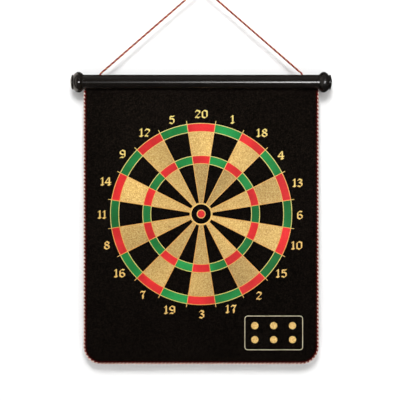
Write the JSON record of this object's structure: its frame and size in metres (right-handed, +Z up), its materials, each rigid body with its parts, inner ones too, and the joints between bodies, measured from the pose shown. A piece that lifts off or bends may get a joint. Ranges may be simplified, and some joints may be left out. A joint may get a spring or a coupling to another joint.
{
  "type": "magnetic dartboard",
  "caption": "Roll-up magnetic dartboard: a black flocked sheet with a printed target and stitched edge, hanging from a glossy tube with ball finials on a twisted cord.",
  "frame": {"origin": "the hanging point: the inside of the cord's bend, where the nail bears, 153 mm above the header tube's axis", "axes": "+Z up along the hanging direction, +X along the tube to the player's right, the printed face looks towards -Y"},
  "size_m": [0.4246, 0.0332, 0.6132],
  "materials": {
    "gloss_black": "glossy",
    "rod_wood": "matte",
    "flocked_cloth": "matte",
    "edge_thread": "matte",
    "cord_thread": "matte"
  },
  "bodies": {
    "header": {"header_tube": "gloss_black", "finial_left": "gloss_black", "finial_right": "gloss_black", "retaining_rod": "rod_wood", "sheet_top_hem": "flocked_cloth", "cord_knot_left": "cord_thread", "cord_knot_right": "cord_thread", "edge_stitching_00": "edge_thread"},
    "cord": {"hanging_cord": "cord_thread"},
    "strip_01": {"sheet_strip_01": "flocked_cloth", "edge_stitching_01": "edge_thread"},
    "strip_02": {"sheet_strip_02": "flocked_cloth", "edge_stitching_02": "edge_thread"},
    "strip_03": {"sheet_strip_03": "flocked_cloth", "edge_stitching_03": "edge_thread"},
    "strip_04": {"sheet_strip_04": "flocked_cloth", "edge_stitching_04": "edge_thread"},
    "strip_05": {"sheet_strip_05": "flocked_cloth", "edge_stitching_05": "edge_thread"},
    "strip_06": {"sheet_strip_06": "flocked_cloth", "edge_stitching_06": "edge_thread"},
    "strip_07": {"sheet_strip_07": "flocked_cloth", "edge_stitching_07": "edge_thread"},
    "strip_08": {"sheet_strip_08": "flocked_cloth", "edge_stitching_08": "edge_thread"},
    "strip_09": {"sheet_strip_09": "flocked_cloth", "edge_stitching_09": "edge_thread"},
    "strip_10": {"sheet_strip_10": "flocked_cloth", "edge_stitching_10": "edge_thread"},
    "strip_11": {"sheet_strip_11": "flocked_cloth", "edge_stitching_11": "edge_thread"},
    "strip_12": {"sheet_strip_12": "flocked_cloth", "edge_stitching_12": "edge_thread"},
    "strip_13": {"sheet_strip_13": "flocked_cloth", "edge_stitching_13": "edge_thread"},
    "strip_14": {"sheet_strip_14": "flocked_cloth", "edge_stitching_14": "edge_thread"},
    "strip_15": {"sheet_strip_15": "flocked_cloth", "edge_stitching_15": "edge_thread"},
    "strip_16": {"sheet_strip_16": "flocked_cloth", "edge_stitching_16": "edge_thread"},
    "strip_17": {"sheet_strip_17": "flocked_cloth", "edge_stitching_17": "edge_thread"},
    "strip_18": {"sheet_strip_18": "flocked_cloth", "edge_stitching_18": "edge_thread"},
    "strip_19": {"sheet_strip_19": "flocked_cloth", "edge_stitching_19": "edge_thread"},
    "strip_20": {"sheet_strip_20": "flocked_cloth", "edge_stitching_20": "edge_thread"},
    "strip_21": {"sheet_strip_21": "flocked_cloth", "edge_stitching_21": "edge_thread"},
    "strip_22": {"sheet_strip_22": "flocked_cloth", "edge_stitching_22": "edge_thread"},
    "strip_23": {"sheet_strip_23": "flocked_cloth", "edge_stitching_23": "edge_thread"},
    "strip_24": {"sheet_strip_24": "flocked_cloth", "edge_stitching_24": "edge_thread"}
  },
  "joints": [
    {"name": "cord_swing", "type": "hinge", "parent": "header", "child": "cord", "pos_m": [0, 0, -0.139], "axis": [1, 0, 0], "range_deg": [-100, 100]},
    {"name": "roll_01", "type": "hinge", "parent": "header", "child": "strip_01", "pos_m": [0, 0, -0.195], "axis": [-1, 0, 0], "range_deg": [0, 26]},
    {"name": "roll_02", "type": "hinge", "parent": "strip_01", "child": "strip_02", "pos_m": [0, 0, -0.21229], "axis": [-1, 0, 0], "range_deg": [0, 26.2]},
    {"name": "roll_03", "type": "hinge", "parent": "strip_02", "child": "strip_03", "pos_m": [0, 0, -0.22958], "axis": [-1, 0, 0], "range_deg": [0, 26.4]},
    {"name": "roll_04", "type": "hinge", "parent": "strip_03", "child": "strip_04", "pos_m": [0, 0, -0.24688], "axis": [-1, 0, 0], "range_deg": [0, 26.7]},
    {"name": "roll_05", "type": "hinge", "parent": "strip_04", "child": "strip_05", "pos_m": [0, 0, -0.26417], "axis": [-1, 0, 0], "range_deg": [0, 27]},
    {"name": "roll_06", "type": "hinge", "parent": "strip_05", "child": "strip_06", "pos_m": [0, 0, -0.28146], "axis": [-1, 0, 0], "range_deg": [0, 27.2]},
    {"name": "roll_07", "type": "hinge", "parent": "strip_06", "child": "strip_07", "pos_m": [0, 0, -0.29875], "axis": [-1, 0, 0], "range_deg": [0, 27.5]},
    {"name": "roll_08", "type": "hinge", "parent": "strip_07", "child": "strip_08", "pos_m": [0, 0, -0.31604], "axis": [-1, 0, 0], "range_deg": [0, 27.8]},
    {"name": "roll_09", "type": "hinge", "parent": "strip_08", "child": "strip_09", "pos_m": [0, 0, -0.33333], "axis": [-1, 0, 0], "range_deg": [0, 28.1]},
    {"name": "roll_10", "type": "hinge", "parent": "strip_09", "child": "strip_10", "pos_m": [0, 0, -0.35063], "axis": [-1, 0, 0], "range_deg": [0, 28.4]},
    {"name": "roll_11", "type": "hinge", "parent": "strip_10", "child": "strip_11", "pos_m": [0, 0, -0.36792], "axis": [-1, 0, 0], "range_deg": [0, 28.7]},
    {"name": "roll_12", "type": "hinge", "parent": "strip_11", "child": "strip_12", "pos_m": [0, 0, -0.38521], "axis": [-1, 0, 0], "range_deg": [0, 29]},
    {"name": "roll_13", "type": "hinge", "parent": "strip_12", "child": "strip_13", "pos_m": [0, 0, -0.4025], "axis": [-1, 0, 0], "range_deg": [0, 29.4]},
    {"name": "roll_14", "type": "hinge", "parent": "strip_13", "child": "strip_14", "pos_m": [0, 0, -0.41979], "axis": [-1, 0, 0], "range_deg": [0, 29.7]},
    {"name": "roll_15", "type": "hinge", "parent": "strip_14", "child": "strip_15", "pos_m": [0, 0, -0.43708], "axis": [-1, 0, 0], "range_deg": [0, 30.1]},
    {"name": "roll_16", "type": "hinge", "parent": "strip_15", "child": "strip_16", "pos_m": [0, 0, -0.45437], "axis": [-1, 0, 0], "range_deg": [0, 30.4]},
    {"name": "roll_17", "type": "hinge", "parent": "strip_16", "child": "strip_17", "pos_m": [0, 0, -0.47167], "axis": [-1, 0, 0], "range_deg": [0, 30.8]},
    {"name": "roll_18", "type": "hinge", "parent": "strip_17", "child": "strip_18", "pos_m": [0, 0, -0.48896], "axis": [-1, 0, 0], "range_deg": [0, 31.2]},
    {"name": "roll_19", "type": "hinge", "parent": "strip_18", "child": "strip_19", "pos_m": [0, 0, -0.50625], "axis": [-1, 0, 0], "range_deg": [0, 31.7]},
    {"name": "roll_20", "type": "hinge", "parent": "strip_19", "child": "strip_20", "pos_m": [0, 0, -0.52354], "axis": [-1, 0, 0], "range_deg": [0, 32.1]},
    {"name": "roll_21", "type": "hinge", "parent": "strip_20", "child": "strip_21", "pos_m": [0, 0, -0.54083], "axis": [-1, 0, 0], "range_deg": [0, 32.6]},
    {"name": "roll_22", "type": "hinge", "parent": "strip_21", "child": "strip_22", "pos_m": [0, 0, -0.55812], "axis": [-1, 0, 0], "range_deg": [0, 33]},
    {"name": "roll_23", "type": "hinge", "parent": "strip_22", "child": "strip_23", "pos_m": [0, 0, -0.57542], "axis": [-1, 0, 0], "range_deg": [0, 33.5]},
    {"name": "roll_24", "type": "hinge", "parent": "strip_23", "child": "strip_24", "pos_m": [0, 0, -0.59271], "axis": [-1, 0, 0], "range_deg": [0, 34.1]}
  ]
}
